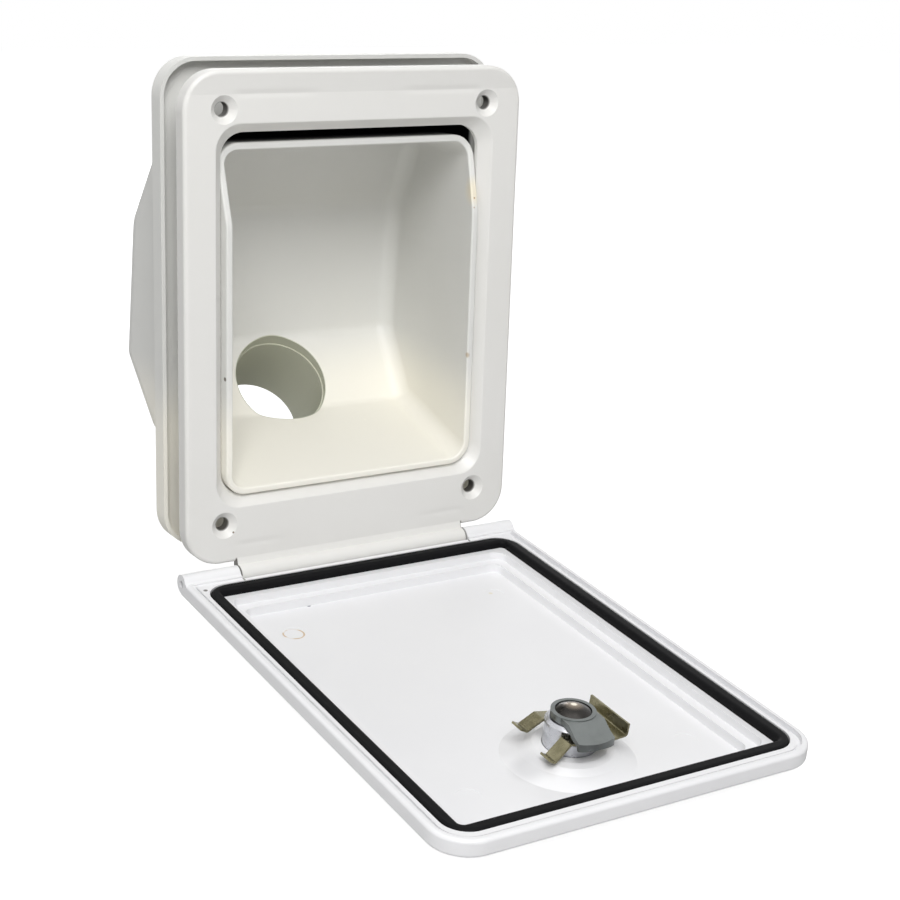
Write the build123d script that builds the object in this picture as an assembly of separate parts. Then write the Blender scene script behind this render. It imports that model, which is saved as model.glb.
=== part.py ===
from build123d import *
import math
import os

# Water filler hatch: a frame screwed to the outside of a wall, a tub behind the wall that ends
# in a hose spigot, and a sealed lid with a lock, hinged along the foot of the frame.
# Everything is drawn from the middle of the frame's front face: +X to the right, +Y into the
# wall and +Z up. The lid and its lock are drawn shut, and turned open about the hinge.
# All sizes are in millimetres.

# Frame
frame_width = 150.0
frame_height = 195.0
frame_depth = 7.0
frame_corner = 15.0
frame_skin = 2.8
frame_edge_round = 1.7
frame_face = 13.0
opening_width = frame_width - 2 * frame_face
frame_head = 20.1
frame_foot = 23.0
opening_top = frame_height / 2 - frame_head
opening_bottom = frame_foot - frame_height / 2
opening_corner = 10.5
border_inset = 4.1
border_depth = 5.0
border_wall = 2.2
border_round = 0.7
border_foot_run = 4.2
border_head_run = 3.7
throat_bottom = opening_bottom + border_foot_run
throat_top = opening_top - border_head_run

# Screws, countersunk through the frame into bosses on the tub's flange
screw_inset = 16.5
screw_span_x = frame_width - 2 * screw_inset
screw_inset_z = 15.5
screw_span_z = frame_height - 2 * screw_inset_z
screw_middle = 0.7
screw_hole = 5.5
screw_head = 11.0
frame_boss = 13.0
flange_boss = 9.0
flange_pilot = 3.2

# Hinge
hinge_forward = 1.3
hinge_below = 5.0
barrel = 8.0
knuckle_inset = 21.8
middle_knuckle = frame_width - 2 * knuckle_inset
knuckle_gap = 0.3
pin_diameter = 3.0
pin_running_gap = 0.06
pin_seat_gap = 0.02
pin_length = 38.0
pin_recess = 1.2
open_angle = 95.63

# Tub
tub_wall = 2.8
mouth_gap = 5.55
mouth_width = opening_width - 2 * mouth_gap
tub_flare = 10.05
tub_back_width = mouth_width + 2 * tub_flare
tub_depth = 84.6
tub_head_gap = 6.8
tub_foot_gap = 2.6
tub_top_front = throat_top - tub_head_gap
tub_top_fall = 2.5
tub_top_back = tub_top_front - tub_top_fall
tub_top_run = 57.5
tub_waist_drop = 36.4
tub_waist = tub_top_front - tub_waist_drop
tub_lean = 6.0
tub_waist_depth = tub_depth - tub_lean
tub_sill = throat_bottom + tub_foot_gap
tub_heel_rise = 39.7
tub_heel = tub_sill + tub_heel_rise
tub_crease_rise = 11.3
tub_crease = tub_sill + tub_crease_rise
tub_crease_depth = 63.0
tub_inside_round = 6.4
tub_top_round = 6.0
tub_waist_round = 14.0
tub_heel_round = 7.0
tub_crease_round = 5.0
lip_front = 1.0
mouth_margin = 5.0
lip_kink_drop = 28.4
lip_kink = tub_top_front - lip_kink_drop
lip_slant_gap = 1.7
lip_slant_top = tub_top_front - lip_slant_gap
lip_back = 8.2
lip_sill_fall = 1.6
lip_sill_rise = 8.0
lip_sill_round = 20.0
lip_kink_round = 12.0
lip_top_round = 5.0
lip_round = 0.8
flange_extra = 1.3
flange_height = frame_height + flange_extra
flange_lift = 2.45
flange_front = 22.0
flange_rear = 30.0
flange_skin = 2.5
flange_rim = 1.6

# Hose spigot, pointing down and back out of the tub's heel
spigot_bore = 41.0
spigot_wall = 2.5
spigot_x = 2.5
spigot_y = 71.0
spigot_rise = 24.2
spigot_z = tub_sill + spigot_rise
spigot_dip = 44.0
spigot_length = 40.0
spigot_end_round = 0.8
spigot_root = 9.0
spigot_root_step = 1.5
spigot_entry = 42.2
spigot_entry_depth = 4.5

# Lid. Heights run from the hinge line towards the tub when the lid is shut.
lid_overhang = 3.0
lid_width = frame_width + 2 * lid_overhang
lid_extra = 9.3
lid_reach = frame_height + lid_extra
lid_corner = 14.5
lid_skin = 3.0
rim_top = 1.5
rim_width = 2.4
rim_round = 1.4
groove_width = 1.6
groove_floor = -0.6
bead_top = 0.6
plate_start = 5.0
channel_floor = -2.2
channel_inset = 5.6
channel_width = lid_width - 2 * channel_inset
channel_start = 6.9
channel_end_inset = 6.2
channel_end = lid_reach - channel_end_inset
channel_corner = 10.0
first_step = 8.3
second_step = 4.1
first_floor = -5.4
second_floor = -9.2
step_corner = 5.0
seal_width = 5.2
seal_gap = 0.2
seal_face_gap = 0.3
seal_round = 1.6
dome_top = -4.0
dome_top_radius = 14.5
dome_base_radius = 24.5
dish_lead = 1.2
ejector_mark = 9.5
ejector_depth = 0.15
ejector_x = 46.5
ejector_near = 38.0
ejector_end_inset = 37.8
ejector_places = (ejector_near, lid_reach - ejector_end_inset)

# Lock
lock_end_inset = 46.0
lock_place = lid_reach - lock_end_inset
lock_body = 19.6
lock_hole_gap = 0.2
lock_end = 6.5
lock_end_chamfer = 1.2
lock_head = 25.0
lock_head_depth = 2.5
gasket_depth = 1.0
gasket_diameter = 26.0
cap_sheet = 0.4
cap_gap = 0.05
plug_diameter = 9.0
plug_flange = 12.0
plug_flange_depth = 1.2
plug_running_gap = 0.05
tail_side = 5.6
washer_depth = 0.5
washer_diameter = 15.0
cam_head = 16.2
cam_depth = 2.4
cam_reach = 17.6
cam_width = 14.6
cam_turn = 3.0
rivet_head = 12.8
rivet_shank = 4.0
rivet_rise = 1.9
rivet_recess = 0.7
slot_low = 0.3
slot_high = 5.0
slot_web = 10.6

# Key way and wafers
key_slot_width = 2.2
key_slot_height = 6.4
wafer_count = 5
wafer_pitch = 2.6
wafer_depth = 1.0
wafer_width = 4.4
wafer_height = 8.4
wafer_gap = 0.1
pocket_width = 1.3
pocket_height = 4.6
pocket_depth = 1.5
lug_height = 1.2
spring_coil = 1.1
spring_wire = 0.22
spring_pitch = 0.9
spring_gap = 0.02

# Spring clip
clip_sheet = 0.8
clip_arm = 6.0
clip_reach = 16.0
clip_tail = 17.6
clip_bridge = 3.0
clip_bend = 0.9

# Places that follow from the sizes above
face_middle = 0.0
frame_bottom = face_middle - frame_height / 2
hinge_y = -hinge_forward
hinge_z = frame_bottom - hinge_below
hinge_line = Axis((0, hinge_y, hinge_z), (1, 0, 0))
lock_z = hinge_z + lock_place
lock_line = Axis((0, hinge_y, lock_z), (0, 1, 0))
dish_floor = dome_top - lid_skin
panel_back = second_floor - lid_skin
plug_face = dish_floor - gasket_depth - lock_head_depth
cam_base = lock_end + washer_depth
screw_places = [
    (x, screw_middle + z)
    for x in (-screw_span_x / 2, screw_span_x / 2)
    for z in (-screw_span_z / 2, screw_span_z / 2)
]


def upright(width, low, high, radius):
    """Rounded rectangle seen from the front, centred across the part."""
    return Pos(0, (low + high) / 2) * RectangleRounded(width, high - low, radius)


def facing(y):
    """Plane across the part at depth y, seen from the front."""
    return Plane(origin=(0, y, 0), x_dir=(1, 0, 0), z_dir=(0, -1, 0))


def slab(outline, front, back):
    """Outline seen from the front, made solid between two depths."""
    return extrude(facing(back) * outline, back - front)


def rod(x, z, diameter, front, back):
    """Round bar along Y."""
    return slab(Pos(x, z) * Circle(diameter / 2), front, back)


def cross_bar(y, z, diameter, left, right):
    """Round bar along X."""
    bar = Plane(origin=(left, y, z), x_dir=(0, 1, 0), z_dir=(1, 0, 0))
    return extrude(bar * Circle(diameter / 2), right - left)


def side_prism(points, left, right):
    """Outline in depth and height, drawn from its corners and made solid between two sides."""
    side = Plane(origin=(left, 0, 0), x_dir=(0, 1, 0), z_dir=(1, 0, 0))
    return extrude(side * make_face(Polyline(*points, close=True)), right - left)


def flare(front_outline, back_outline, front, back):
    """Blend from one outline to another between two depths."""
    return loft([facing(front) * front_outline, facing(back) * back_outline])


def outer_frame():
    """Moulded frame: thin face, deep edge, flared border, screw bosses and hinge knuckle."""
    top = frame_bottom + frame_height
    body = slab(upright(frame_width, frame_bottom, top, frame_corner), 0, frame_depth)
    body = fillet(body.faces().sort_by(Axis.Y)[0].edges(), frame_edge_round)
    hollow = slab(
        upright(
            frame_width - 2 * frame_skin,
            frame_bottom + frame_skin,
            top - frame_skin,
            frame_corner - frame_skin,
        ),
        frame_skin,
        frame_depth,
    )
    throat_width = opening_width - 2 * border_inset
    throat_corner = opening_corner - 1
    mouth = upright(opening_width, opening_bottom, opening_top, opening_corner)
    throat = upright(throat_width, throat_bottom, throat_top, throat_corner)
    opening = flare(mouth, throat, 0, border_depth)
    opening += slab(throat, border_depth, frame_depth)
    border = flare(
        offset(mouth, border_wall), offset(throat, border_wall), 0, border_depth
    )
    border += slab(offset(throat, border_wall), border_depth, frame_depth)
    for x, z in screw_places:
        border += rod(x, z, frame_boss, 0, frame_depth)
    body -= hollow - border
    body -= opening
    lead = [e for e in body.edges() if e.bounding_box().max.Y < 0.01 and inside_mouth(e)]
    body = fillet(lead, border_round)
    sink = (screw_head - screw_hole) / 2
    for x, z in screw_places:
        body -= rod(x, z, screw_hole, 0, frame_depth)
        body -= facing(sink) * Pos(x, z) * extrude(Circle(screw_hole / 2), sink, taper=-45)
    body += frame_knuckle()
    half = middle_knuckle / 2
    for side in (-1, 1):
        inner = side * (half - pin_seat_depth())
        bore = pin_diameter + 2 * pin_seat_gap
        body -= cross_bar(hinge_y, hinge_z, bore, min(inner, side * half), max(inner, side * half))
    return body


def inside_mouth(edge):
    """True for an edge that lies round the opening, not round the outside."""
    box = edge.bounding_box()
    reach = max(abs(box.min.X), abs(box.max.X))
    low = box.min.Z > (frame_bottom + opening_bottom) / 2
    return reach < (frame_width + opening_width) / 4 and low


def frame_knuckle():
    """Long middle knuckle with the web that joins it to the foot of the frame."""
    half = middle_knuckle / 2
    radius = barrel / 2
    back = hinge_y + radius
    web = side_prism(
        [
            (back, hinge_z),
            (back, frame_bottom + frame_skin),
            (frame_skin / 2, frame_bottom + frame_skin),
            (0.0, frame_bottom + frame_edge_round),
            (hinge_y + 0.5, hinge_z + radius - 0.1),
            (hinge_y, hinge_z),
        ],
        -half,
        half,
    )
    return web + cross_bar(hinge_y, hinge_z, barrel, -half, half)


def pin_seat_depth():
    """How far a hinge pin's hole goes into the middle knuckle."""
    end_knuckle = (lid_width - middle_knuckle) / 2
    return pin_length + pin_recess - end_knuckle + pin_recess


def hinge_pin(side):
    """Steel pin through one end knuckle into the middle knuckle."""
    outer = side * (lid_width / 2 - pin_recess)
    inner = outer - side * pin_length
    pin = cross_bar(hinge_y, hinge_z, pin_diameter, min(outer, inner), max(outer, inner))
    return chamfer(pin.edges(), pin_diameter / 10)


def tub_form(grow):
    """Inside of the tub, or its outside when grown by the wall."""
    front = lip_front - mouth_margin
    back = tub_depth + mouth_margin
    inside_mouth_width = mouth_width - 2 * tub_wall
    inside_back_width = tub_back_width - 2 * tub_wall
    profile = make_face(
        Polyline(
            (front, tub_top_front),
            (tub_top_run, tub_top_back),
            (tub_waist_depth, tub_waist),
            (tub_depth, tub_heel),
            (tub_crease_depth, tub_crease),
            (front, tub_sill + (tub_sill - tub_crease) * (lip_front - front) / tub_crease_depth),
            close=True,
        )
    )
    profile = offset(profile, grow, kind=Kind.INTERSECTION)
    rounds = [
        ((tub_top_run, tub_top_back), tub_top_round),
        ((tub_waist_depth, tub_waist), tub_waist_round),
        ((tub_depth, tub_heel), tub_heel_round),
        ((tub_crease_depth, tub_crease), tub_crease_round),
    ]
    for place, radius in rounds:
        corner = profile.vertices().sort_by_distance(Vector(*place, 0))[0]
        profile = fillet(corner, radius + grow)
    side = Plane(origin=(-tub_back_width, 0, 0), x_dir=(0, 1, 0), z_dir=(1, 0, 0))
    form = extrude(side * profile, 2 * tub_back_width)
    half_front = inside_mouth_width / 2
    spread = (inside_back_width / 2 - half_front) / (tub_depth - front)
    half_back = half_front + spread * (back - front)
    plan = make_face(
        Polyline(
            (-half_front, front),
            (half_front, front),
            (half_back, back),
            (-half_back, back),
            close=True,
        )
    )
    plan = offset(plan, grow, kind=Kind.INTERSECTION)
    form &= extrude(Pos(0, 0, -frame_height / 2) * plan, frame_height)
    sides = [
        e
        for e in form.edges()
        if abs(e.center().X) > half_front / 2 and e.center().Y > front - grow + 0.1
    ]
    return fillet(sides, tub_inside_round + grow)


def mouth_cut():
    """Everything in front of the tub's lip, which leans back above the kink."""
    far = frame_height
    front = make_face(
        Polyline(
            (-far, -far),
            (lip_front + lip_sill_fall, -far),
            (lip_front + lip_sill_fall, tub_sill - 2 * tub_wall),
            (lip_front, tub_sill + lip_sill_rise),
            (lip_front, lip_kink),
            (lip_back, lip_slant_top),
            (lip_back, far),
            (-far, far),
            close=True,
        )
    )
    bends = [
        ((lip_front, tub_sill + lip_sill_rise), lip_sill_round),
        ((lip_front, lip_kink), lip_kink_round),
        ((lip_back, lip_slant_top), lip_top_round),
    ]
    for place, radius in bends:
        corner = front.vertices().sort_by_distance(Vector(*place, 0))[0]
        front = fillet(corner, radius)
    side = Plane(origin=(-frame_width, 0, 0), x_dir=(0, 1, 0), z_dir=(1, 0, 0))
    return extrude(side * front, 2 * frame_width)


def spigot_plane(along):
    """Plane across the spigot, at a distance along its axis from where it leaves the tub."""
    dip = math.radians(spigot_dip)
    way = Vector(0, math.cos(dip), -math.sin(dip))
    return Plane(origin=Vector(spigot_x, spigot_y, spigot_z) + way * along, x_dir=(1, 0, 0), z_dir=way)


def rear_tub():
    """Moulded tub with a slanting mouth, a flange behind the wall and a hose spigot."""
    cavity = tub_form(0.0)
    body = tub_form(tub_wall)
    tub = body - cavity
    tub -= mouth_cut()
    rim = [e for e in tub.edges() if e.bounding_box().max.Y < lip_back + 0.5]
    tub = fillet(rim, lip_round)
    flange_bottom = face_middle + flange_lift - flange_height / 2
    outline = upright(frame_width, flange_bottom, flange_bottom + flange_height, frame_corner)
    flange = slab(outline, flange_front, flange_rear)
    flange -= slab(offset(outline, -flange_rim), flange_front, flange_rear - flange_skin)
    for x, z in screw_places:
        flange += rod(x, z, flange_boss, flange_front, flange_rear)
        flange -= rod(x, z, flange_pilot, flange_front, flange_rear)
    tub += flange - body
    outside = spigot_bore / 2 + spigot_wall
    tube = extrude(spigot_plane(-spigot_root) * Circle(outside), spigot_length + spigot_root)
    tube = chamfer(tube.faces().sort_by(Axis.Z)[0].edges(), spigot_end_round)
    tube += extrude(
        spigot_plane(-spigot_root) * Circle(outside + spigot_root_step), 2 * spigot_root
    )
    tub += tube - body
    inside = spigot_plane(-spigot_bore / 2)
    tub -= extrude(inside * Circle(spigot_bore / 2), spigot_length + spigot_bore)
    tub -= extrude(inside * Circle(spigot_entry / 2), spigot_bore / 2 + spigot_entry_depth)
    return tub


def lid_outline(width, start, end, start_round, end_round):
    """Outline on the lid, from distances along it from the hinge line, with rounded corners."""
    shape = Pos(0, hinge_z + (start + end) / 2) * Rectangle(width, end - start)
    ends = shape.vertices().sort_by(Axis.Y)
    if end_round > 0:
        shape = fillet(ends[-2:], end_round)
    if start_round > 0:
        shape = fillet(shape.vertices().sort_by(Axis.Y)[:2], start_round)
    return shape


def lid_slab(outline, low, high):
    """Outline on the lid, made solid between two heights from the hinge line."""
    return slab(outline, hinge_y + low, hinge_y + high)


def lock_turned(radius_and_height):
    """Turned shape about the lock's axis, from its half section of radius and height."""
    half = Plane(origin=(0, hinge_y, lock_z), x_dir=(1, 0, 0), z_dir=(0, 0, 1))
    section = half * make_face(Polyline(*radius_and_height, close=True))
    return revolve(section, lock_line)


def stepped(inset, start_round, end_round):
    """Outline inside the seal channel by an inset all round."""
    return lid_outline(
        channel_width - 2 * inset,
        channel_start + inset,
        channel_end - inset,
        start_round,
        end_round,
    )


def lid():
    """Moulded lid: rim, seal channel, two steps down to the panel, dome and end knuckles."""
    rim = lid_outline(lid_width, 0, lid_reach, 0, lid_corner)
    base = channel_floor - lid_skin
    body = lid_slab(rim, base, rim_top)
    long_edges = [
        e
        for e in body.edges()
        if e.bounding_box().max.Z > hinge_z + 1 and e.length > 5 and not e.geom_type == GeomType.CIRCLE
    ]
    arcs = [e for e in body.edges() if e.geom_type == GeomType.CIRCLE]
    body = fillet(
        [e for e in long_edges if e.bounding_box().size.Y < 0.1] + arcs, rim_round
    )
    first = stepped(first_step, step_corner, step_corner)
    second = stepped(first_step + second_step, step_corner - 1, step_corner - 1)
    swell = lid_skin
    outer_first = lid_slab(offset(first, swell), first_floor - lid_skin, base + 1)
    outer_first = fillet(outer_first.faces().sort_by(Axis.Y)[0].edges(), 1.5)
    outer_second = lid_slab(offset(second, swell), panel_back, first_floor)
    outer_second = fillet(outer_second.faces().sort_by(Axis.Y)[0].edges(), 2.0)
    body += outer_first
    body += outer_second
    face = lid_outline(
        lid_width - 2 * rim_width,
        plate_start,
        lid_reach - rim_width,
        0,
        lid_corner - rim_width,
    )
    body -= lid_slab(face, bead_top, rim_top)
    groove = face - lid_outline(
        lid_width - 2 * (rim_width + groove_width),
        plate_start - 5,
        lid_reach - rim_width - groove_width,
        0,
        lid_corner - rim_width - groove_width,
    )
    body -= lid_slab(groove, groove_floor, rim_top)
    body -= lid_slab(stepped(0, channel_corner, channel_corner), channel_floor, rim_top)
    body -= lid_slab(first, first_floor, channel_floor)
    body -= lid_slab(second, second_floor, first_floor)
    body += lock_turned(
        [
            (0, second_floor - lid_skin / 2),
            (dome_base_radius, second_floor - lid_skin / 2),
            (dome_base_radius, second_floor),
            (dome_base_radius - 6, second_floor + 2.6),
            (dome_top_radius + 1.5, dome_top - 0.8),
            (dome_top_radius - 1, dome_top),
            (0, dome_top),
        ]
    )
    body -= lock_turned(
        [
            (0, dish_floor),
            (dome_top_radius, dish_floor),
            (dome_base_radius - dish_lead, panel_back),
            (0, panel_back),
        ]
    )
    body -= rod(0, lock_z, lock_body + 2 * lock_hole_gap, hinge_y + dish_floor, hinge_y + dome_top)
    for x in (-ejector_x, ejector_x):
        for place in ejector_places:
            mark = Pos(x, hinge_z + place) * Circle(ejector_mark / 2)
            body -= lid_slab(mark, second_floor - ejector_depth, second_floor)
    return lid_knuckles(body)


def lid_knuckles(body):
    """Two end knuckles with their blends onto the plate, and the gap for the middle knuckle."""
    half = middle_knuckle / 2 + knuckle_gap
    radius = barrel / 2
    room = Pos(0, hinge_z) * Rectangle(2 * half, 2 * plate_start)
    body -= lid_slab(room, panel_back, rim_top)
    for side in (-1, 1):
        left = min(side * half, side * lid_width / 2)
        right = max(side * half, side * lid_width / 2)
        body += cross_bar(hinge_y, hinge_z, barrel, left, right)
        body += side_prism(
            [
                (hinge_y, hinge_z),
                (hinge_y + radius * 0.98, hinge_z + radius * 0.2),
                (hinge_y + bead_top, hinge_z + plate_start + 0.4),
                (hinge_y - 1, hinge_z + plate_start + 0.4),
            ],
            left,
            right,
        )
    bore = pin_diameter + 2 * pin_running_gap
    body -= cross_bar(hinge_y, hinge_z, bore, -lid_width / 2, lid_width / 2)
    return body


def lid_seal():
    """Rubber seal that fills the channel, with a rounded crown just clear of the frame's face."""
    crown = hinge_forward - seal_face_gap
    ring = lid_slab(
        stepped(seal_gap, channel_corner, channel_corner), channel_floor, crown
    )
    ring -= lid_slab(stepped(seal_gap + seal_width, 2.0, 2.0), channel_floor, crown)
    return fillet(ring.faces().sort_by(Axis.Y)[-1].edges(), seal_round)


def lock_housing():
    """Die-cast barrel with its head in the dish and two slots for the clip."""
    body_radius = lock_body / 2
    bore = plug_diameter / 2 + plug_running_gap
    sink = plug_flange / 2 + plug_running_gap
    head_back = dish_floor - gasket_depth
    body = lock_turned(
        [
            (bore, plug_face + plug_flange_depth),
            (sink, plug_face + plug_flange_depth),
            (sink, plug_face),
            (lock_head / 2, plug_face),
            (lock_head / 2, head_back),
            (body_radius, head_back),
            (body_radius, lock_end - lock_end_chamfer),
            (body_radius - lock_end_chamfer, lock_end),
            (bore, lock_end),
        ]
    )
    for side in (-1, 1):
        middle = side * (slot_web / 2 + body_radius)
        slot = Pos(0, lock_z + middle) * Rectangle(2 * lock_body, 2 * body_radius)
        body -= lid_slab(slot, slot_low, slot_high)
    return body


def lock_cap():
    """Thin steel cap over the head of the lock."""
    inner = lock_head / 2 + cap_gap
    hole = plug_flange / 2 + plug_running_gap
    skirt = plug_face + lock_head_depth * 0.8
    return lock_turned(
        [
            (hole, plug_face - cap_sheet),
            (inner + cap_sheet - 0.3, plug_face - cap_sheet),
            (inner + cap_sheet, plug_face - cap_sheet + 0.3),
            (inner + cap_sheet, skirt),
            (inner, skirt),
            (inner, plug_face),
            (hole, plug_face),
        ]
    )


def lock_gasket():
    """Flat rubber ring between the head of the lock and the floor of the dish."""
    hole = lock_body / 2 + seal_gap
    return lock_turned(
        [
            (hole, dish_floor - gasket_depth),
            (gasket_diameter / 2, dish_floor - gasket_depth),
            (gasket_diameter / 2, dish_floor),
            (hole, dish_floor),
        ]
    )


def wafer_height_at(number):
    """Height of a wafer's near face from the hinge line."""
    return plug_face + plug_flange_depth + 1.6 + number * wafer_pitch


def lock_plug():
    """Turning core with the key slot, the wafer slots and a square tail for the tongue."""
    radius = plug_diameter / 2
    cap_front = plug_face - cap_sheet
    plug = lock_turned(
        [
            (0, cap_front),
            (plug_flange / 2 - 0.3, cap_front),
            (plug_flange / 2 - 0.02, cap_front + 0.3),
            (plug_flange / 2 - 0.02, plug_face + plug_flange_depth),
            (radius, plug_face + plug_flange_depth),
            (radius, lock_end),
            (0, lock_end),
        ]
    )
    tail = Pos(0, lock_z) * Rectangle(tail_side, tail_side)
    tail = lid_slab(tail, lock_end, cam_base + cam_depth - rivet_recess)
    plug += tail.rotate(lock_line, -cam_turn)
    slot = Pos(0, lock_z) * Rectangle(key_slot_width, key_slot_height)
    slot_end = wafer_height_at(wafer_count)
    plug -= lid_slab(slot, cap_front, slot_end)
    for number in range(wafer_count):
        low = wafer_height_at(number)
        room = Pos(0, lock_z) * Rectangle(wafer_width + 2 * wafer_gap, plug_diameter)
        plug -= lid_slab(room, low - wafer_gap, low + wafer_depth + wafer_gap)
        pocket = Pos(pocket_x(), lock_z) * Rectangle(pocket_width, pocket_height)
        middle = low + wafer_depth / 2
        plug -= lid_slab(pocket, middle - pocket_depth / 2, middle + pocket_depth / 2)
    plug -= rod(
        0,
        lock_z,
        rivet_shank,
        hinge_y + lock_end - 3.0,
        hinge_y + cam_base + cam_depth,
    )
    return plug


def pocket_x():
    """Middle of the spring pockets, beside the wafers."""
    return wafer_width / 2 + pocket_width / 2


def wafer(number):
    """Brass wafer with its key window and spring lug, drawn in as the key holds it."""
    low = wafer_height_at(number)
    plate = Pos(0, lock_z) * Rectangle(wafer_width, wafer_height)
    plate &= Pos(0, lock_z) * Circle(plug_diameter / 2 - wafer_gap)
    window = Pos(0, lock_z) * Rectangle(key_slot_width + 0.4, key_slot_height - 1)
    lug_middle = lock_z - pocket_height / 2 + wafer_gap + lug_height / 2
    lug = Pos(pocket_x() - wafer_gap, lug_middle) * Rectangle(pocket_width, lug_height)
    return lid_slab(plate + lug - window, low, low + wafer_depth)


def wafer_spring(number):
    """Coil spring between a wafer's lug and the end of its pocket."""
    start = lock_z - pocket_height / 2 + wafer_gap + lug_height + spring_wire / 2 + spring_gap
    end = lock_z + pocket_height / 2 - spring_wire / 2 - spring_gap
    line = Helix(spring_pitch, end - start, (spring_coil - spring_wire) / 2)
    section = Plane(origin=line @ 0, z_dir=line % 0) * Circle(spring_wire / 2)
    middle = hinge_y + wafer_height_at(number) + wafer_depth / 2
    return Pos(pocket_x(), middle, start) * sweep(section, path=line, is_frenet=True)


def cam_washer():
    """Spring washer between the end of the barrel and the tongue."""
    hole = tail_side * 0.72
    return lock_turned(
        [
            (hole, lock_end),
            (washer_diameter / 2, lock_end),
            (washer_diameter / 2, cam_base),
            (hole, cam_base),
        ]
    )


def lock_cam():
    """Cast tongue: round head on the square tail, stepping down to a rounded end."""
    top = cam_base + cam_depth
    head_radius = cam_head / 2
    head = rod(0, lock_z, cam_head, hinge_y + cam_base, hinge_y + top)
    arm_points = [
        (0, cam_base),
        (head_radius + 0.8, cam_base),
        (head_radius + 3.5, cam_base - 1.9),
        (cam_reach - 2.8, cam_base - 3.0),
        (cam_reach - 2.3, cam_base - 4.2),
        (cam_reach - 0.9, cam_base - 4.4),
        (cam_reach + 1, cam_base - 3.9),
        (cam_reach + 1, cam_base - 1.9),
        (cam_reach - 1.2, cam_base - 1.5),
        (head_radius + 4.7, cam_base - 0.3),
        (head_radius + 0.5, top - 0.2),
        (0, top - 0.2),
    ]
    arm = side_prism(
        [(hinge_y + height, lock_z + reach) for reach, height in arm_points],
        -cam_width / 2,
        cam_width / 2,
    )
    arm &= rod(0, lock_z, 2 * cam_reach, hinge_y, hinge_y + top)
    cam = head + arm
    cam -= rod(0, lock_z, rivet_head + 0.4, hinge_y + top - rivet_recess, hinge_y + top)
    tail = Pos(0, lock_z) * Rectangle(tail_side + 0.1, tail_side + 0.1)
    cam -= lid_slab(tail, cam_base, top)
    return cam.rotate(lock_line, -cam_turn)


def cam_rivet():
    """Domed rivet through the tongue into the core's tail."""
    base = cam_base + cam_depth - rivet_recess
    radius = rivet_head / 2
    shank = rivet_shank / 2 - pin_seat_gap
    edge = 0.4
    curve = (radius**2 + rivet_rise**2) / (2 * rivet_rise)
    head = rod(0, lock_z, rivet_head, hinge_y + base, hinge_y + base + edge + rivet_rise)
    head &= Pos(0, hinge_y + base + edge + rivet_rise - curve, lock_z) * Sphere(curve)
    return head + rod(0, lock_z, 2 * shank, hinge_y + lock_end - 2.8, hinge_y + base)


def clip_strip(path, near, far):
    """Bent strip that follows a path of across and height, between two places along the lid."""
    middle = Plane(origin=(0, hinge_y, lock_z + near), x_dir=(1, 0, 0), z_dir=(0, 0, 1))
    return extrude(middle * trace(path, clip_sheet), far - near)


def lock_clip():
    """Folded spring strip: a turned-up bridge and two humped arms through the barrel's slots."""
    half = slot_web / 2
    bridge = [
        (clip_reach + 0.4, slot_high + 0.9),
        (clip_reach, slot_low + 1.1),
        (clip_reach - 7, slot_low + 0.6),
    ]
    rear_arm = [
        (-8.5, slot_high - 0.8),
        (-clip_tail + 2.8, slot_low + 0.7),
        (-clip_tail, slot_low + 2.1),
    ]
    front_arm = [
        (-8.0, slot_high - 2.0),
        (-clip_tail + 3.6, slot_low - 2.9),
        (-clip_tail + 1.3, slot_low - 1.5),
    ]
    rear = FilletPolyline(*bridge, *rear_arm, radius=clip_bend)
    front = FilletPolyline(*bridge, *front_arm, radius=clip_bend)
    web = FilletPolyline(*bridge[:2], (clip_reach - clip_bridge, slot_low + 0.9), radius=clip_bend)
    clip = clip_strip(rear, -half - clip_arm, -half)
    clip += clip_strip(front, half, half + clip_arm)
    return clip + clip_strip(web, -half, half)


def opened(piece):
    """Lid piece turned from shut to open about the hinge."""
    return piece.rotate(hinge_line, open_angle)


pieces = {
    "outer_frame": outer_frame(),
    "rear_tub": rear_tub(),
    "hinge_pin_left": hinge_pin(-1),
    "hinge_pin_right": hinge_pin(1),
    "lid": opened(lid()),
    "lid_seal": opened(lid_seal()),
    "lock_housing": opened(lock_housing()),
    "lock_cap": opened(lock_cap()),
    "lock_gasket": opened(lock_gasket()),
    "lock_plug": opened(lock_plug()),
    "cam_washer": opened(cam_washer()),
    "lock_cam": opened(lock_cam()),
    "cam_rivet": opened(cam_rivet()),
    "lock_clip": opened(lock_clip()),
}
for number in range(wafer_count):
    pieces[f"wafer_{number + 1}"] = opened(wafer(number))
    pieces[f"wafer_spring_{number + 1}"] = opened(wafer_spring(number))

# The middle of the four screw holes, on the wall plane, becomes the origin.
to_wall = Pos(0, -frame_depth, -screw_middle)

os.makedirs("parts", exist_ok=True)
for name, piece in pieces.items():
    export_step(to_wall * piece, f"parts/{name}.step")
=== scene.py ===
import bpy
import numpy as np
from mathutils import Matrix, Vector


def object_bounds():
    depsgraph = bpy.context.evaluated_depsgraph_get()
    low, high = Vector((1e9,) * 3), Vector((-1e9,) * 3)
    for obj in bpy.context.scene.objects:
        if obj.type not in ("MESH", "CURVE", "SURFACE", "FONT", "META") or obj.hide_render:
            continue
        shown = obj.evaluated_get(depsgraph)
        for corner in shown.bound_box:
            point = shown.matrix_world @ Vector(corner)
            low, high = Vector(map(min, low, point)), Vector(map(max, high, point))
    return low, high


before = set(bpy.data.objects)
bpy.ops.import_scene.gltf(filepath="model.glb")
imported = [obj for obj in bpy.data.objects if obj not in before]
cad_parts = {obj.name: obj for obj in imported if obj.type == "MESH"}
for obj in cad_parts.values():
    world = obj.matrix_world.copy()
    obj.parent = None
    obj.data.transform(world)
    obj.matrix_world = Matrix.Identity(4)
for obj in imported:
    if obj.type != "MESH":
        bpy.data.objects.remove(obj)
cad_low, cad_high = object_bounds()

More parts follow.
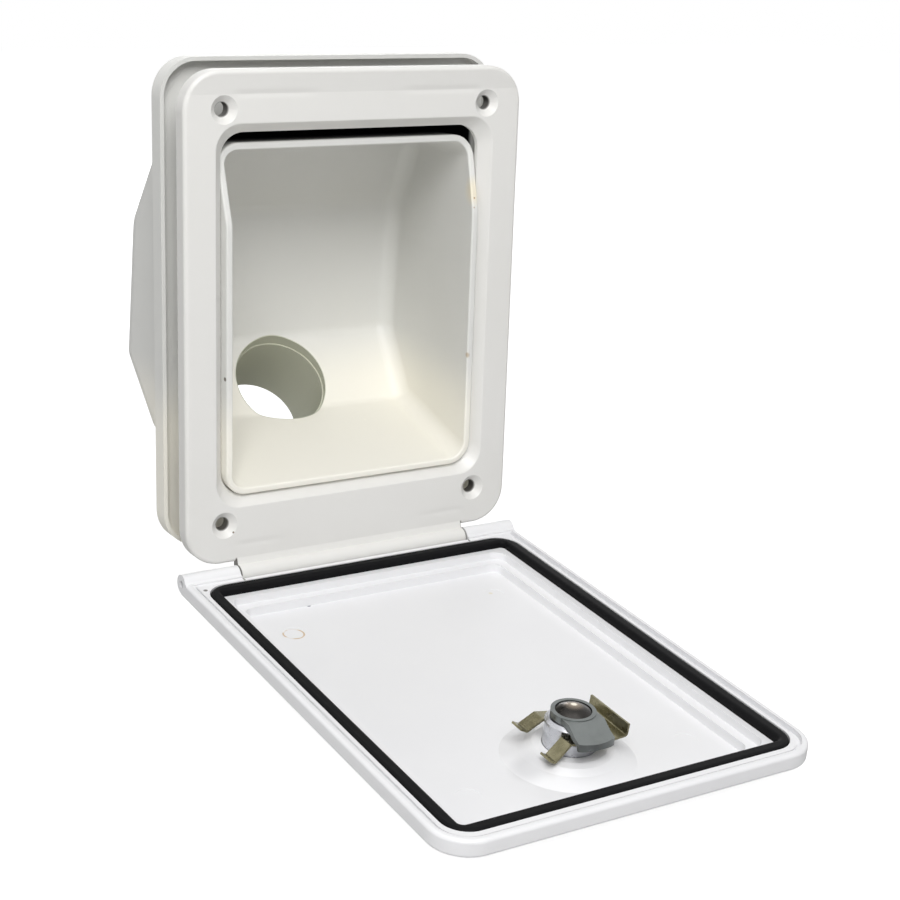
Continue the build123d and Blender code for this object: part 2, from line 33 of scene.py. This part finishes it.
# The outer frame: one white ABS moulding with a flared border, screwed over a cut-out in the wall.
# The mould was polished, so the skin is smooth and softly glossy, with a slow wave in it, shallow
# sink lines where the ribs behind the face end, and a strip along the top that rises a little.
mm = 0.001
frame_white = "#E6E5E2"
frame_shade = "#E1E0DC"
frame_roughness = 0.38
abs_ior = 1.53
cloud_size = 45.0 * mm
mould_wave = 9.0 * mm
mould_wave_height = 0.4 * mm
mould_wave_strength = 0.12
mould_grain = 0.5 * mm
mould_grain_height = 0.05 * mm
mould_grain_strength = 0.10
gloss_less = 0.05
gloss_more = 0.07

sink_width = 1.3 * mm
sink_depth = 0.22 * mm
sink_fade = 12.0 * mm
upper_sink = 87.8 * mm
upper_sink_span = (26.0 * mm, 51.0 * mm)
lower_sink = -91.0 * mm
lower_sink_span = (40.0 * mm, 50.0 * mm)
strip_top = 97.0 * mm
strip_rise = 1.2 * mm

screw_place = (58.5 * mm, 0.0, 82.0 * mm)
# Dust and painted shade in the screw holes, darker deeper in.
screw_dust_and_shade_full = 2.8 * mm
screw_dust_and_shade_gone = 3.1 * mm
screw_dust_and_shade_strength = 0.93
screw_rim = (-5.5 * mm, -3.0 * mm)
screw_rim_share = 0.35
screw_dust_and_shade = "#2B2722"

joint_place = 53.35 * mm
joint_width = 0.5 * mm
joint_strength = 0.9
joint_top = -97.0 * mm
joint_front = -16.5 * mm
joint_fade = 1.0 * mm
joint_dust = "#6E6B66"

# Each mark has its colour, its place in millimetres, the radius to which it is full, the radius at
# which it is gone, and its strength.
frame_marks = (
    ("#6B5A46", (-54.62, -6.71, -85.46), 0.25, 0.55, 1.0),  # dirt in the lower left hole's rim
)


def linear(hex_colour):
    """sRGB hex to linear RGBA.

    A channel c becomes ((c + 0.055) / 1.055) ** 2.4, or c / 12.92 where it is small.
    """
    channel = np.array([int(hex_colour[i : i + 2], 16) / 255 for i in (1, 3, 5)])
    curve = np.where(channel > 0.04045, ((channel + 0.055) / 1.055) ** 2.4, channel / 12.92)
    return (*curve.tolist(), 1.0)


def add(tree, kind, inputs=None, gives=None, **settings):
    """Adds one shader node and returns it, or the output that it gives.

    An input that is a socket is linked, and any other value is set.
    """
    made = tree.nodes.new("ShaderNode" + kind)
    for name, value in settings.items():
        setattr(made, name, value)
    for name, value in (inputs or {}).items():
        if isinstance(value, bpy.types.NodeSocket):
            tree.links.new(value, made.inputs[name])
        else:
            made.inputs[name].default_value = value
    return made.outputs[gives] if gives else made


def start_material(name):
    """A new material with an empty tree, its output and its object coordinates."""
    made = bpy.data.materials.new(name)
    made.use_nodes = True
    made.node_tree.nodes.clear()
    tree = made.node_tree
    out = add(tree, "OutputMaterial")
    coords = add(tree, "TexCoord", gives="Object")
    return made, tree, out, coords


def dress(material, *names):
    """Puts one material in the only slot of each named node."""
    for name in names:
        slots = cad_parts[name].data.materials
        slots.clear()
        slots.append(material)


def mask_of(tree, *steps):
    """Product of smooth steps.

    Each step goes from one number to another while its value goes from low to high, and it is
    flat at both ends.
    """
    whole = None
    for value, low, high, at_low, at_high in steps:
        step = add(
            tree,
            "MapRange",
            {"Value": value, "From Min": low, "From Max": high, "To Min": at_low, "To Max": at_high},
            gives="Result",
            interpolation_type="SMOOTHSTEP",
        )
        if whole is not None:
            step = add(tree, "Math", {0: whole, 1: step}, gives="Value", operation="MULTIPLY")
        whole = step
    return whole


def layered(tree, tint, *layers):
    """Lays colours over a tint one after another, each as far as its mask says."""
    for colour, mask in layers:
        inputs = {"Factor": mask, "A": tint, "B": linear(colour)}
        tint = add(tree, "Mix", inputs, gives="Result", data_type="RGBA")
    return tint


def marked(tree, coords, tint, marks):
    """Lays round marks over a tint, by the distance of a point of the skin from each place."""
    for colour, place, full, gone, strength in marks:
        middle = tuple(c * mm for c in place)
        away = add(
            tree, "VectorMath", {0: coords, 1: middle}, gives="Value", operation="DISTANCE"
        )
        mask = mask_of(tree, (away, full * mm, gone * mm, strength, 0.0))
        tint = layered(tree, tint, (colour, mask))
    return tint


def moulded_abs(name, colour, shade_colour, roughness):
    """Injection-moulded ABS.

    The colour has faint flow clouds, and the skin has a slow wave and a fine grain.
    """
    made, tree, out, coords = start_material(name)
    clouds = add(
        tree, "TexNoise", {"Vector": coords, "Scale": 1 / cloud_size, "Detail": 3.0}, gives="Fac"
    )
    wave = add(
        tree, "TexNoise", {"Vector": coords, "Scale": 1 / mould_wave, "Detail": 1.0}, gives="Fac"
    )
    grain = add(
        tree, "TexNoise", {"Vector": coords, "Scale": 1 / mould_grain, "Detail": 2.0}, gives="Fac"
    )
    slow = add(
        tree,
        "Bump",
        {"Height": wave, "Strength": mould_wave_strength, "Distance": mould_wave_height},
        gives="Normal",
    )
    skin = add(
        tree,
        "Bump",
        {
            "Height": grain,
            "Strength": mould_grain_strength,
            "Distance": mould_grain_height,
            "Normal": slow,
        },
        gives="Normal",
    )
    tint = layered(tree, linear(colour), (shade_colour, clouds))
    gloss = mask_of(tree, (clouds, 0.0, 1.0, roughness - gloss_less, roughness + gloss_more))
    surface = add(
        tree,
        "BsdfPrincipled",
        {"Base Color": tint, "Roughness": gloss, "IOR": abs_ior, "Normal": skin},
    )
    tree.links.new(surface.outputs["BSDF"], out.inputs["Surface"])
    return made, tree, coords, surface, tint, skin


def sink_line(tree, axes, height, span):
    """A level groove at a height, from one distance to another on both sides of the middle.

    Its depth across is the bell curve exp(-(z / width) ** 2).
    """
    away = add(tree, "Math", {0: axes["Z"], 1: height}, gives="Value", operation="SUBTRACT")
    share = add(tree, "Math", {0: away, 1: sink_width}, gives="Value", operation="DIVIDE")
    square = add(tree, "Math", {0: share, 1: share}, gives="Value", operation="MULTIPLY")
    fall = add(tree, "Math", {0: square, 1: -1.0}, gives="Value", operation="MULTIPLY")
    bell = add(tree, "Math", {0: fall}, gives="Value", operation="EXPONENT")
    side = add(tree, "Math", {0: axes["X"]}, gives="Value", operation="ABSOLUTE")
    near, far = span
    ends = mask_of(
        tree, (side, near - sink_fade, near, 0.0, 1.0), (side, far, far + sink_fade / 2, 1.0, 0.0)
    )
    return add(tree, "Math", {0: bell, 1: ends}, gives="Value", operation="MULTIPLY")


def joint_line(tree, axes):
    """A thin line of dust where the middle knuckle ends and the lid's own knuckles begin."""
    side = add(tree, "Math", {0: axes["X"]}, gives="Value", operation="ABSOLUTE")
    away = add(tree, "Math", {0: side, 1: joint_place}, gives="Value", operation="SUBTRACT")
    away = add(tree, "Math", {0: away}, gives="Value", operation="ABSOLUTE")
    return mask_of(
        tree,
        (away, joint_width / 2, joint_width, joint_strength, 0.0),
        (axes["Z"], joint_top, joint_top + joint_fade, 1.0, 0.0),
        (axes["Y"], joint_front - joint_fade, joint_front, 0.0, 1.0),
    )


frame_abs, tree, coords, surface, tint, skin = moulded_abs(
    "abs_polished_white", frame_white, frame_shade, frame_roughness
)
axes = add(tree, "SeparateXYZ", {"Vector": coords}).outputs
upper = sink_line(tree, axes, upper_sink, upper_sink_span)
lower = sink_line(tree, axes, lower_sink, lower_sink_span)
strip = add(
    tree,
    "MapRange",
    {
        "Value": axes["Z"],
        "From Min": upper_sink,
        "From Max": strip_top,
        "To Max": -strip_rise / sink_depth,
    },
    gives="Result",
)
sunk = add(tree, "Math", {0: upper, 1: lower}, gives="Value", operation="ADD")
sunk = add(tree, "Math", {0: sunk, 1: strip}, gives="Value", operation="ADD")
face = add(
    tree,
    "Bump",
    {"Height": sunk, "Strength": 1.0, "Distance": sink_depth, "Normal": skin},
    gives="Normal",
    invert=True,
)
tree.links.new(face, surface.inputs["Normal"])

# Dust and painted shade darken the four screw holes, more so deeper in, which lie alike on all sides
# of the middle.
aside = add(tree, "VectorMath", {0: coords}, gives="Vector", operation="ABSOLUTE")
aside = add(tree, "VectorMath", {0: aside, 1: screw_place}, gives="Vector", operation="SUBTRACT")
aside = add(tree, "VectorMath", {0: aside, 1: (1, 0, 1)}, gives="Vector", operation="MULTIPLY")
aside = add(tree, "VectorMath", {0: aside}, gives="Value", operation="LENGTH")
screw_dust_and_shade_mask = mask_of(
    tree,
    (aside, screw_dust_and_shade_full, screw_dust_and_shade_gone, screw_dust_and_shade_strength, 0.0),
    (axes["Y"], *screw_rim, screw_rim_share, 1.0),
)
tint = layered(tree, tint, (screw_dust_and_shade, screw_dust_and_shade_mask))
tint = marked(tree, coords, tint, frame_marks)
tint = layered(tree, tint, (joint_dust, joint_line(tree, axes)))
tree.links.new(tint, surface.inputs["Base Color"])
dress(frame_abs, "outer_frame")

# The rear tub: a deep white ABS moulding with its own flange behind the wall, a slanting mouth
# and a spigot for the hose. It is duller than the frame. Its foot is painted lighter and creamy, as
# painted light, its bore is greenish grey, and the top of its neck is painted black, as painted
# shade.
tub_white = "#E2E2DF"
tub_shade = "#DBDBD7"
tub_roughness = 0.46

# Painted light: the foot is painted lighter and creamy, full at the bottom and gone higher up.
foot_painted_light = "#F7F4E9"
foot_strength = 0.9
foot_full = -50.0 * mm
foot_gone = -22.0 * mm

bore_middle = (2.5 * mm, 64.93 * mm, -45.1 * mm)
bore_way = (0.0, -0.7193, 0.6947)
bore_reach = 21.4 * mm
bore_edge = 0.1 * mm
bore_tint = "#C6C7B6"
bore_tint_fade = (4.0 * mm, 12.0 * mm)
bore_tint_least = 0.35

# Painted shade: black on the top of the neck, behind the lip.
neck_painted_shade = "#060606"
neck_front = 1.6 * mm
neck_fall = 3.0 * mm
neck_back = 23.5 * mm
neck_middle = 2.5 * mm
neck_half = 67.0 * mm
neck_low = 46.0 * mm
neck_low_fade = 8.0 * mm
neck_top = 76.0 * mm
neck_edge_fade = 2.0 * mm
neck_back_fade = 1.0 * mm
neck_outward = (-4.0 * mm, -1.0 * mm)
neck_turned_back = (0.05, 0.3)
neck_turned_aside = (0.6, 0.95)
neck_side_least = 0.1
abs_specular = 0.5
neck_dull_at = 0.6

tub_marks = (
    ("#F3E6C6", (55.73, -4.58, 46.0), 1.5, 8.0, 0.6),  # cream on the right side of the lip
    ("#A8814E", (55.73, -4.58, 43.06), 0.2, 0.55, 0.8),  # two brown dots in the cream
    ("#9B7648", (55.2, -5.26, 39.2), 0.25, 0.6, 0.8),
    ("#A88A56", (54.38, -5.53, -23.22), 0.4, 1.6, 0.6),  # brown, lower on the same side
    ("#54483A", (-57.2, -4.56, -22.45), 0.5, 1.1, 0.9),  # dark, on the left side of the lip
    ("#FBF8EC", (31.13, 39.49, -60.1), 0.3, 0.9, 0.9),  # pale, on the floor
)

tub_abs, tree, coords, surface, tint, _ = moulded_abs(
    "abs_tub_satin", tub_white, tub_shade, tub_roughness
)
axes = add(tree, "SeparateXYZ", {"Vector": coords}).outputs
foot_light_mask = mask_of(tree, (axes["Z"], foot_full, foot_gone, foot_strength, 0.0))

# The bore is what lies nearer to its axis than its own radius, and its greenish grey fades upwards.
off = add(tree, "VectorMath", {0: coords, 1: bore_middle}, gives="Vector", operation="SUBTRACT")
along = add(tree, "VectorMath", {0: off, 1: bore_way}, gives="Value", operation="DOT_PRODUCT")
on_axis = add(
    tree, "VectorMath", {0: bore_way, "Scale": along}, gives="Vector", operation="SCALE"
)
aside = add(tree, "VectorMath", {0: off, 1: on_axis}, gives="Value", operation="DISTANCE")
bore = mask_of(
    tree,
    (aside, bore_reach - bore_edge, bore_reach + bore_edge, 1.0, 0.0),
    (along, *bore_tint_fade, 1.0, bore_tint_least),
)

# The neck's painted shade grows with depth as 1 - exp(-depth / fall), over the lip only. It lies
# where the skin faces away from the middle, and on the front of the flange behind it.
normal = add(tree, "NewGeometry", gives="Normal")
way = add(tree, "SeparateXYZ", {"Vector": normal}).outputs
across = add(tree, "VectorMath", {0: coords, 1: (1, 0, 1)}, gives="Vector", operation="MULTIPLY")
outward = add(tree, "VectorMath", {0: across, 1: normal}, gives="Value", operation="DOT_PRODUCT")
turned_aside = add(tree, "Math", {0: way["X"]}, gives="Value", operation="ABSOLUTE")
side = add(tree, "Math", {0: axes["X"], 1: neck_middle}, gives="Value", operation="SUBTRACT")
side = add(tree, "Math", {0: side}, gives="Value", operation="ABSOLUTE")
depth = add(tree, "Math", {0: axes["Y"], 1: neck_front}, gives="Value", operation="SUBTRACT")
depth = add(tree, "Math", {0: depth, 1: 0.0}, gives="Value", operation="MAXIMUM")
depth = add(tree, "Math", {0: depth, 1: -1 / neck_fall}, gives="Value", operation="MULTIPLY")
lit = add(tree, "Math", {0: depth}, gives="Value", operation="EXPONENT")
shaded = add(tree, "Math", {0: 1.0, 1: lit}, gives="Value", operation="SUBTRACT")
zone = mask_of(
    tree,
    (side, neck_half - neck_edge_fade, neck_half, 1.0, 0.0),
    (axes["Z"], neck_top - neck_edge_fade, neck_top, 1.0, 0.0),
    (axes["Z"], neck_low, neck_low + neck_low_fade, 0.0, 1.0),
    (way["Y"], *neck_turned_back, 1.0, 0.0),
    (turned_aside, *neck_turned_aside, 1.0, neck_side_least),
    (axes["Y"], neck_back - neck_back_fade, neck_back, 1.0, 0.0),
    (outward, *neck_outward, 0.0, 1.0),
)
neck_shade = add(tree, "Math", {0: shaded, 1: zone}, gives="Value", operation="MULTIPLY")
# Where the shade is painted, the shine is turned down too, so that it stays black.
shine = mask_of(tree, (neck_shade, 0.0, neck_dull_at, abs_specular, 0.0))
tree.links.new(shine, surface.inputs["Specular IOR Level"])

tint = layered(tree, tint, (foot_painted_light, foot_light_mask), (bore_tint, bore), (neck_painted_shade, neck_shade))
tint = marked(tree, coords, tint, tub_marks)
tree.links.new(tint, surface.inputs["Base Color"])
dress(tub_abs, "rear_tub")

# The lid: a white ABS moulding, whiter and glossier than the frame, with a stepped inside and a
# dome where the lock goes through. A drying drop has left a brown ring on an ejector mark, and
# there are a few specks of dirt. Grey shade is painted on the flanks of the dome. All marks lie on
# the inside.
lid_white = "#EEEEEF"
lid_shade = "#E8E8EA"
lid_roughness = 0.32

ring_brown = "#CBAE86"
ring_middle = (-47.36 * mm, -46.1 * mm, -116.32 * mm)
ring_radius = 4.1 * mm
ring_width = 0.5 * mm
ring_strength = 0.95
ring_break = 5.0 * mm
ring_break_span = (0.38, 0.56)
ring_break_least = 0.15
inside_turned_up = (-0.05, 0.1)

lid_marks_and_shade = (
    ("#4E5468", (-30.63, -26.62, -114.09), 0.5, 1.1, 0.95),  # a dark speck
    ("#D9CC9E", (45.82, -43.92, -116.11), 0.3, 1.2, 0.5),  # a yellowish one on the right
    ("#B9B2A4", (-49.86, -23.05, -108.53), 0.2, 0.7, 0.4),  # a faint one on the left
    ("#55504A", (-71.87, -17.87, -103.54), 0.5, 1.2, 0.9),  # a dark one at the far left
    # The last two are painted shade on the flanks of the dome.
    ("#C6C6C8", (-19.0, -168.5, -125.8), 2.5, 9.5, 0.6),  # grey on the flanks of the dome
    ("#CFCFD1", (19.0, -170.5, -125.8), 2.0, 8.0, 0.35),
)

lid_abs, tree, coords, surface, tint, _ = moulded_abs(
    "abs_lid_gloss", lid_white, lid_shade, lid_roughness
)
axes = add(tree, "SeparateXYZ", {"Vector": coords}).outputs
away = add(tree, "VectorMath", {0: coords, 1: ring_middle}, gives="Value", operation="DISTANCE")
away = add(tree, "Math", {0: away, 1: ring_radius}, gives="Value", operation="SUBTRACT")
away = add(tree, "Math", {0: away}, gives="Value", operation="ABSOLUTE")
breaks = add(
    tree, "TexNoise", {"Vector": coords, "Scale": 1 / ring_break, "Detail": 1.0}, gives="Fac"
)
ring = mask_of(
    tree,
    (away, ring_width / 3, ring_width, ring_strength, 0.0),
    (breaks, *ring_break_span, ring_break_least, 1.0),
)
dirty_and_shaded = layered(tree, tint, (ring_brown, ring), (joint_dust, joint_line(tree, axes)))
dirty_and_shaded = marked(tree, coords, dirty_and_shaded, lid_marks_and_shade)

# The inside faces up while the lid is open, which is how it was drawn.
faces = add(tree, "TexCoord", gives="Normal")
faces = add(tree, "SeparateXYZ", {"Vector": faces}, gives="Z")
inside = mask_of(tree, (faces, *inside_turned_up, 0.0, 1.0))
tint = add(
    tree, "Mix", {"Factor": inside, "A": tint, "B": dirty_and_shaded}, gives="Result", data_type="RGBA"
)
tree.links.new(tint, surface.inputs["Base Color"])
dress(lid_abs, "lid")

# The seal and the ring under the lock's head: black EPDM rubber, extruded and moulded. Rubber
# scatters little light and shines little, so it stays black with a faint grey bloom.
rubber_black = "#060607"
rubber_bloom = "#0E0E10"
rubber_roughness = 0.6
rubber_ior = 1.52
rubber_specular = 0.1
bloom_size = 6.0 * mm
rubber_grain = 0.6 * mm
rubber_grain_height = 0.1 * mm
rubber_grain_strength = 0.25

rubber, tree, out, coords = start_material("rubber_extruded")
bloom = add(
    tree, "TexNoise", {"Vector": coords, "Scale": 1 / bloom_size, "Detail": 4.0}, gives="Fac"
)
grain = add(
    tree, "TexNoise", {"Vector": coords, "Scale": 1 / rubber_grain, "Detail": 2.0}, gives="Fac"
)
skin = add(
    tree,
    "Bump",
    {"Height": grain, "Strength": rubber_grain_strength, "Distance": rubber_grain_height},
    gives="Normal",
)
surface = add(
    tree,
    "BsdfPrincipled",
    {
        "Base Color": layered(tree, linear(rubber_black), (rubber_bloom, bloom)),
        "Roughness": rubber_roughness,
        "IOR": rubber_ior,
        "Specular IOR Level": rubber_specular,
        "Normal": skin,
    },
    gives="BSDF",
)
tree.links.new(surface, out.inputs["Surface"])
dress(rubber, "lid_seal", "lock_gasket")

# The lock's barrel and its turning core: zinc, die-cast and tumbled. Casting leaves patches of a
# darker tone, a fine grain and an uneven polish.
zinc_light = "#D0D1D5"
zinc_dark = "#AFB1B6"
metal_grain_height = 0.05 * mm
metal_grain_strength = 0.2
patch_span = (0.2, 0.8)
polish_less = 0.06
polish_more = 0.08


def metal(name, colour, dark_colour, roughness, patch, grain, marks=()):
    """Bare metal: patches of a darker tone, a fine grain in the skin and uneven polish."""
    made, tree, out, coords = start_material(name)
    patches = add(
        tree, "TexNoise", {"Vector": coords, "Scale": 1 / patch, "Detail": 3.0}, gives="Fac"
    )
    fine = add(tree, "TexNoise", {"Vector": coords, "Scale": 1 / grain, "Detail": 2.0}, gives="Fac")
    skin = add(
        tree,
        "Bump",
        {"Height": fine, "Strength": metal_grain_strength, "Distance": metal_grain_height},
        gives="Normal",
    )
    tint = layered(tree, linear(colour), (dark_colour, patches))
    polish = mask_of(
        tree, (patches, *patch_span, roughness - polish_less, roughness + polish_more)
    )
    surface = add(
        tree,
        "BsdfPrincipled",
        {
            "Base Color": marked(tree, coords, tint, marks),
            "Metallic": 1.0,
            "Roughness": polish,
            "Normal": skin,
        },
        gives="BSDF",
    )
    tree.links.new(surface, out.inputs["Surface"])
    return made


zinc_cast = metal(
    "zinc_die_cast", zinc_light, zinc_dark, roughness=0.3, patch=4.0 * mm, grain=0.4 * mm
)
dress(zinc_cast, "lock_housing", "lock_plug")

# The tongue: zinc again, but barrel-finished to a dull mid grey. It sits on the end of the core
# and turns with it.
tongue_light = "#878B8A"
tongue_dark = "#6C706F"

zinc_tongue = metal(
    "zinc_die_cast_tongue",
    tongue_light,
    tongue_dark,
    roughness=0.33,
    patch=5.0 * mm,
    grain=0.35 * mm,
)
dress(zinc_tongue, "lock_cam")

# The rivet that holds the tongue: steel with a dark oxide, its head pressed smooth. A highlight is
# painted on the middle of the head, inside a wider brownish-grey glow.
rivet_light = "#4A4846"
rivet_dark = "#262423"
rivet_painted_highlight = (
    ("#9C8F80", (0.6, -166.0, -107.75), 0.8, 4.4, 0.9),
    ("#FFF8E8", (0.6, -166.0, -107.75), 0.7, 1.5, 1.0),
)

rivet_steel = metal(
    "steel_rivet_dark",
    rivet_light,
    rivet_dark,
    roughness=0.24,
    patch=3.0 * mm,
    grain=0.5 * mm,
    marks=rivet_painted_highlight,
)
dress(rivet_steel, "cam_rivet")

# The clip: spring steel, stamped and bent, with a yellow chromate that runs from brown gold to
# dark olive.
clip_gold = "#A9A387"
clip_olive = "#57533A"

clip_yellow = metal(
    "steel_yellow_passivated",
    clip_gold,
    clip_olive,
    roughness=0.27,
    patch=3.0 * mm,
    grain=0.6 * mm,
)
dress(clip_yellow, "lock_clip")

# The cap over the lock's head, on the lid's outside: thin stainless sheet, drawn over the head
# and polished.
cap_light = "#C8C8C8"
cap_dark = "#B4B4B4"

cap_steel = metal(
    "steel_cap_bright", cap_light, cap_dark, roughness=0.2, patch=6.0 * mm, grain=0.4 * mm
)
dress(cap_steel, "lock_cap")

# The hinge pins, the spring washer and the wafers' springs: drawn or rolled steel, lightly oiled,
# a little darker than the cap.
pin_light = "#9A9A9A"
pin_dark = "#7A7A7A"
springs = [f"wafer_spring_{number}" for number in range(1, 6)]

pin_steel = metal(
    "steel_drawn", pin_light, pin_dark, roughness=0.3, patch=4.0 * mm, grain=0.4 * mm
)
dress(pin_steel, "hinge_pin_left", "hinge_pin_right", "cam_washer", *springs)

# The wafers: brass, stamped from sheet. They slide in the core, each on its own spring, and stop
# it from turning without the key.
brass_light = "#D2B46A"
brass_dark = "#B0924C"
wafers = [f"wafer_{number}" for number in range(1, 6)]

wafer_brass = metal(
    "brass_stamped", brass_light, brass_dark, roughness=0.35, patch=3.0 * mm, grain=0.4 * mm
)
dress(wafer_brass, *wafers)

# The camera stands where the photograph was taken, worked out from the frame's corners and holes.
camera_place = Vector((-0.3513, -0.6337, 0.1543))
camera_right = Vector((0.8490206, -0.5272632, 0.0340217))
camera_down = Vector((-0.1210111, -0.2567285, -0.9588779))
camera_ahead = Vector((0.5143154, 0.8099901, -0.2817725))
lens_mm = 72.65
sensor_mm = 36.0
sight_end = 20.0

camera_data = bpy.data.cameras.new("camera")
camera_data.sensor_width = sensor_mm
camera_data.lens = lens_mm
camera_data.clip_end = sight_end
camera = bpy.data.objects.new("camera", camera_data)
turn = Matrix((camera_right, -camera_down, -camera_ahead)).transposed()
camera.matrix_world = Matrix.Translation(camera_place) @ turn.to_4x4()
bpy.context.scene.collection.objects.link(camera)
bpy.context.scene.camera = camera

# The studio floor: white paper just under the lid. It lights the object as a pale grey would, and
# the camera alone sees it lifted to near white, with the object's shadow on it.
floor_drop = 0.5 * mm
floor_half = 3.0
paper_grey = "#C8C8C8"
paper_lift = 0.86

scene = bpy.context.scene
scene.view_settings.view_transform = "Standard"
floor_mesh = bpy.data.meshes.new("studio_floor")
floor_level = cad_low[2] - floor_drop
corners = floor_half * np.array([(-1, -1), (1, -1), (1, 1), (-1, 1)])
floor_mesh.from_pydata(np.c_[corners, np.full(4, floor_level)].tolist(), [], [(0, 1, 2, 3)])
floor = bpy.data.objects.new("studio_floor", floor_mesh)
scene.collection.objects.link(floor)

paper, tree, out, _ = start_material("studio_paper")
seen = add(tree, "LightPath", gives="Is Camera Ray")
card = add(tree, "BsdfDiffuse", {"Color": linear(paper_grey)}, gives="BSDF")
glow = add(tree, "Emission", {"Strength": paper_lift}, gives="Emission")
both = add(tree, "AddShader", {0: card, 1: glow}, gives="Shader")
lift = add(tree, "MixShader", {0: seen, 1: card, 2: both}, gives="Shader")
tree.links.new(lift, out.inputs["Surface"])
floor_mesh.materials.append(paper)

# The surround: white to the camera and in what shines, and a weak light on everything else.
surround_strength = 0.24

world = bpy.data.worlds.new("studio")
scene.world = world
world.use_nodes = True
tree = world.node_tree
tree.nodes.clear()
out = add(tree, "OutputWorld")
paths = add(tree, "LightPath").outputs
seen = paths["Is Camera Ray"]
for other in ("Is Glossy Ray", "Is Transmission Ray"):
    seen = add(tree, "Math", {0: seen, 1: paths[other]}, gives="Value", operation="MAXIMUM")
strength = add(
    tree, "MapRange", {"Value": seen, "To Min": surround_strength, "To Max": 1.0}, gives="Result"
)
sky = add(tree, "Background", {"Color": (1, 1, 1, 1), "Strength": strength}, gives="Background")
tree.links.new(sky, out.inputs["Surface"])


# The lamps: one high in front and a little to the left, whose shadow edge crosses the tub's right
# wall, a wide soft one above, a weak one at the left side and one behind.
def soft_lamp(name, place, aim, size, watts):
    """Square area lamp at a place, turned to face an aim."""
    data = bpy.data.lights.new(name, "AREA")
    data.shape = "SQUARE"
    data.size = size
    data.energy = watts
    lamp = bpy.data.objects.new(name, data)
    lamp.location = place
    lamp.rotation_euler = (Vector(place) - Vector(aim)).to_track_quat("Z", "Y").to_euler()
    scene.collection.objects.link(lamp)


soft_lamp("lamp_key", place=(-0.41, -0.94, 0.83), aim=(0, -0.03, -0.03), size=0.62, watts=12.9)
soft_lamp("lamp_above", place=(0.0, -0.2, 1.2), aim=(0, -0.05, 0), size=1.0, watts=3.2)
soft_lamp("lamp_left", place=(-1.1, -0.06, 0.2), aim=(0, 0, 0), size=0.8, watts=1.6)
soft_lamp("lamp_back", place=(0.45, 1.35, 0.1), aim=(0, 0.05, 0), size=0.8, watts=6.0)
